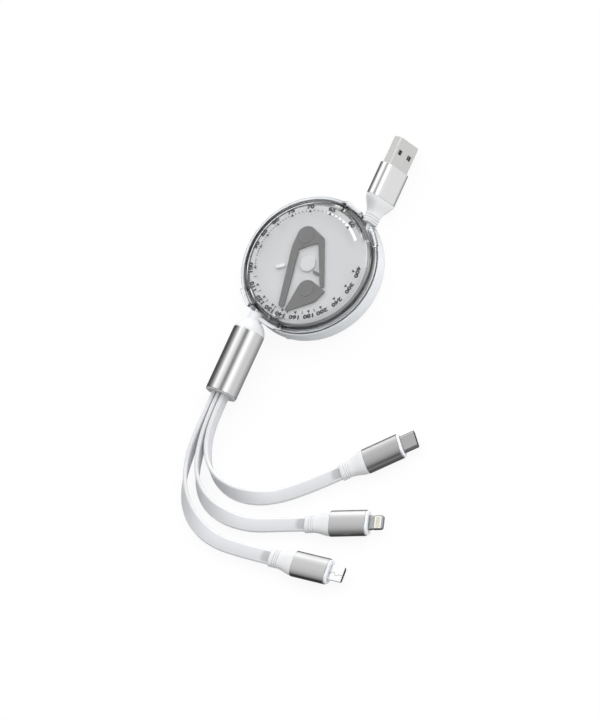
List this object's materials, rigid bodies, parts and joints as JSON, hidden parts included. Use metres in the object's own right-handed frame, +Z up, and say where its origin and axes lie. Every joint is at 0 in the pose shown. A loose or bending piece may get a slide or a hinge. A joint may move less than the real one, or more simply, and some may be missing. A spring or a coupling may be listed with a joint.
{
  "type": "multi charging cable",
  "caption": "Retractable charging cable: a round spring reel with a clear dial cover, a wide host plug on one side and a splitter with flat tails and small device plugs on the other.",
  "frame": {"origin": "middle of the reel's flat back face, on the table it lies on", "axes": "+Z up through the dial, +Y the way the host plug points, +X to its right seen from above"},
  "size_m": [0.1149, 0.1965, 0.0153],
  "materials": {
    "white_case": "glossy moulded",
    "clear_cover": "clear polished",
    "dial_grey": "satin",
    "plate_grey": "satin",
    "pale_plate": "satin",
    "dark_screw": "blackened",
    "spool_white": "moulded",
    "spring_steel": "rolled strip",
    "ball_steel": "polished",
    "white_cable": "soft matte",
    "white_boot": "soft matte",
    "satin_sleeve": "brushed satin",
    "white_core": "moulded",
    "plug_steel": "nickel plated",
    "plug_insert": "moulded",
    "dark_insert": "moulded",
    "gold_contact": "gold plated",
    "board_green": "solder mask"
  },
  "bodies": {
    "housing": {"back_shell": "white_case", "front_cover": "clear_cover", "case_screws": "dark_screw", "hub_cap": "pale_plate"},
    "spool": {"spool": "spool_white", "dial_plate": "dial_grey", "dial_lever": "plate_grey", "dial_cam": "plate_grey", "dial_pawl": "pale_plate", "wound_cable": "white_cable", "power_spring": "spring_steel"},
    "lock": {"lock_ball": "ball_steel"},
    "host_end": {"host_lead": "white_cable", "host_boot": "white_boot", "host_sleeve": "satin_sleeve", "host_core": "white_core", "host_shell": "plug_steel", "host_tongue": "plug_insert", "host_contacts": "gold_contact"},
    "splitter_end_body": {"splitter_lead": "white_cable", "splitter_cap": "white_boot", "splitter_sleeve": "satin_sleeve", "splitter_end": "white_core", "splice_board": "board_green", "type_c_tail": "white_cable", "type_c_boot": "white_boot", "type_c_sleeve": "satin_sleeve", "type_c_core": "white_core", "tab_tail": "white_cable", "tab_boot": "white_boot", "tab_sleeve": "satin_sleeve", "tab_core": "white_core", "micro_tail": "white_cable", "micro_boot": "white_boot", "micro_sleeve": "satin_sleeve", "micro_core": "white_core", "type_c_shell": "plug_steel", "type_c_insert": "dark_insert", "type_c_contacts": "gold_contact", "tab_blade": "plug_steel", "tab_insert": "plug_insert", "tab_contacts": "gold_contact", "micro_shell": "plug_steel", "micro_tongue": "dark_insert", "micro_contacts": "gold_contact"}
  },
  "joints": [
    {"name": "spool_spin", "type": "hinge", "parent": "housing", "child": "spool", "pos_m": [0, 0, 0], "axis": [0, 0, 1], "range_deg": [0, 1480], "stiffness_Nm_per_rad": 0.001, "springref_deg": -458.37, "deforming": ["power_spring"]},
    {"name": "host_pull", "type": "slide", "parent": "housing", "child": "host_end", "axis": [0, 1, 0], "range_m": [0, 0.4], "deforming": ["host_lead"]},
    {"name": "splitter_pull", "type": "slide", "parent": "housing", "child": "splitter_end_body", "axis": [0, -1, 0], "range_m": [0, 0.4], "deforming": ["splitter_lead"]},
    {"name": "lock_shift", "type": "slide", "parent": "housing", "child": "lock", "axis": [-0.866, 0.5, 0], "range_m": [-0.0006, 0.0006]}
  ],
  "couplings": [
    {"joint": "host_pull", "follows": "spool_spin", "m_per_rad": 0.0154},
    {"joint": "splitter_pull", "follows": "spool_spin", "m_per_rad": 0.0154}
  ]
}
